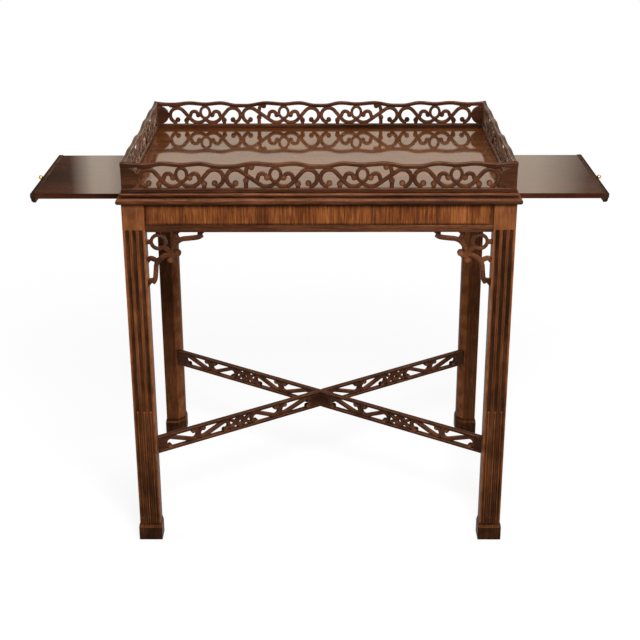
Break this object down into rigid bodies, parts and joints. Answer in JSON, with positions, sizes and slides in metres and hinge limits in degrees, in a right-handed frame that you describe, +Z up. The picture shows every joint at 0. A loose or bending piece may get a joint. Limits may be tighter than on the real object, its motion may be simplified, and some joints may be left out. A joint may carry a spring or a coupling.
{
  "type": "serving table",
  "caption": "Small serving table with a flat top inside a pierced scroll gallery, fluted square legs, pierced brackets, crossed fret stretchers and a draw-out slide at either end.",
  "frame": {"origin": "on the floor, under the middle of the table", "axes": "+X along the table's length, the way the right-hand slide draws out; +Y from front to rear; +Z up"},
  "size_m": [1.096, 0.472, 0.768],
  "materials": {
    "mahogany": "dark reddish-brown mahogany, polished, lighter on worn edges",
    "fretwork": "sawn and carved mahogany, dark in the recesses, orange-brown on the crests",
    "frieze_veneer": "golden-brown crossbanded veneer with upright ribbon stripes, polished",
    "tray_polish": "brown mahogany board with a deep gloss polish",
    "inner_wood": "plain unpolished secondary wood",
    "brass": "pale polished brass"
  },
  "bodies": {
    "table": {"leg_front_left": "mahogany", "foot_cuff_front_left": "mahogany", "leg_front_right": "mahogany", "foot_cuff_front_right": "mahogany", "leg_rear_right": "mahogany", "foot_cuff_rear_right": "mahogany", "leg_rear_left": "mahogany", "foot_cuff_rear_left": "mahogany", "apron_front": "frieze_veneer", "frieze_bead_front": "mahogany", "edge_moulding_front": "mahogany", "gallery_front": "fretwork", "apron_right": "frieze_veneer", "frieze_bead_right": "mahogany", "edge_moulding_right": "mahogany", "gallery_right": "fretwork", "apron_rear": "frieze_veneer", "frieze_bead_rear": "mahogany", "edge_moulding_rear": "mahogany", "gallery_rear": "fretwork", "apron_left": "frieze_veneer", "frieze_bead_left": "mahogany", "edge_moulding_left": "mahogany", "gallery_left": "fretwork", "tray_board": "tray_polish", "bracket_front_left": "fretwork", "bracket_front_right": "fretwork", "bracket_right_front": "fretwork", "bracket_right_rear": "fretwork", "bracket_rear_right": "fretwork", "bracket_rear_left": "fretwork", "bracket_left_rear": "fretwork", "bracket_left_front": "fretwork", "stretcher_left_to_right": "fretwork", "stretcher_right_to_left": "fretwork", "slide_runner_front": "inner_wood", "slide_runner_rear": "inner_wood", "glue_blocks": "inner_wood"},
    "right_slide": {"slide_board_right": "tray_polish", "slide_lip_right": "mahogany", "knob_right": "brass", "slide_stops_right": "inner_wood"},
    "left_slide": {"slide_board_left": "tray_polish", "slide_lip_left": "mahogany", "knob_left": "brass", "slide_stops_left": "inner_wood"}
  },
  "joints": [
    {"name": "right_slide_draw", "type": "slide", "parent": "table", "child": "right_slide", "axis": [1, 0, 0], "range_m": [-0.178, 0]},
    {"name": "left_slide_draw", "type": "slide", "parent": "table", "child": "left_slide", "axis": [-1, 0, 0], "range_m": [-0.178, 0]}
  ]
}
